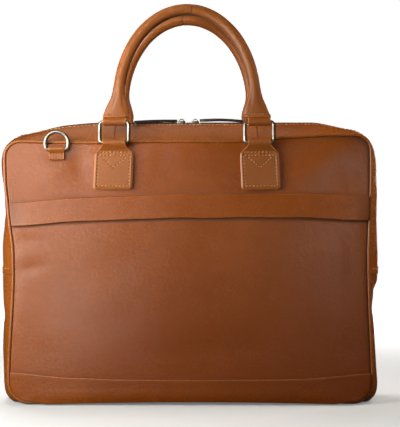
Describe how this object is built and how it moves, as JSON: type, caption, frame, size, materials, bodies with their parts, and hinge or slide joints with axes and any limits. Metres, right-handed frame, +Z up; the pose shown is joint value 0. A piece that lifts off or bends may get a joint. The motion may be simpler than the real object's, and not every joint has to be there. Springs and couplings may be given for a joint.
{
  "type": "laptop bag",
  "caption": "Upright leather laptop bag with a zipped top, a front pocket under a band, rolled handles on metal rings, and strap rings.",
  "frame": {"origin": "on the floor under the middle of the base", "axes": "+Z up, the front with the pocket faces -Y, +X to the right as seen from the front"},
  "size_m": [0.4137, 0.0938, 0.4302],
  "materials": {
    "tan_leather": "grained, soft sheen",
    "dark_leather": "smooth, satin",
    "zip_cloth": "woven tape and coil",
    "nickel": "nickel plate, satin"
  },
  "bodies": {
    "bag": {"back_chape_left": "tan_leather", "back_chape_right": "tan_leather", "back_panel": "tan_leather", "back_piping": "tan_leather", "back_strap_tab": "tan_leather", "base_strip": "tan_leather", "front_chape_left": "tan_leather", "front_chape_right": "tan_leather", "front_panel": "tan_leather", "front_piping": "tan_leather", "front_strap_tab": "tan_leather", "lower_gusset": "tan_leather", "pocket_band": "tan_leather", "pocket_panel": "tan_leather", "top_gusset_back": "tan_leather", "top_gusset_front": "tan_leather", "zip": "zip_cloth", "zip_pull_left": "dark_leather", "zip_pull_right": "dark_leather", "zip_slider_left": "nickel", "zip_slider_right": "nickel"},
    "front_handle": {"front_handle": "tan_leather", "front_ring_left": "nickel", "front_ring_right": "nickel"},
    "front_strap_ring": {"front_strap_ring": "nickel"},
    "back_handle": {"back_handle": "tan_leather", "back_ring_left": "nickel", "back_ring_right": "nickel"},
    "back_strap_ring": {"back_strap_ring": "nickel"}
  },
  "joints": [
    {"name": "front_handle_swing", "type": "hinge", "parent": "bag", "child": "front_handle", "pos_m": [-0.0039, -0.0426, 0.279], "axis": [1, 0, 0], "range_deg": [-6, 150]},
    {"name": "front_strap_ring_turn", "type": "hinge", "parent": "bag", "child": "front_strap_ring", "pos_m": [-0.1426, -0.0399, 0.272], "axis": [1, 0, 0], "range_deg": [-5, 165]},
    {"name": "back_handle_swing", "type": "hinge", "parent": "bag", "child": "back_handle", "pos_m": [-0.0039, 0.0426, 0.279], "axis": [-1, 0, 0], "range_deg": [-6, 150]},
    {"name": "back_strap_ring_turn", "type": "hinge", "parent": "bag", "child": "back_strap_ring", "pos_m": [0.1426, 0.0399, 0.272], "axis": [-1, 0, 0], "range_deg": [-5, 165]}
  ]
}
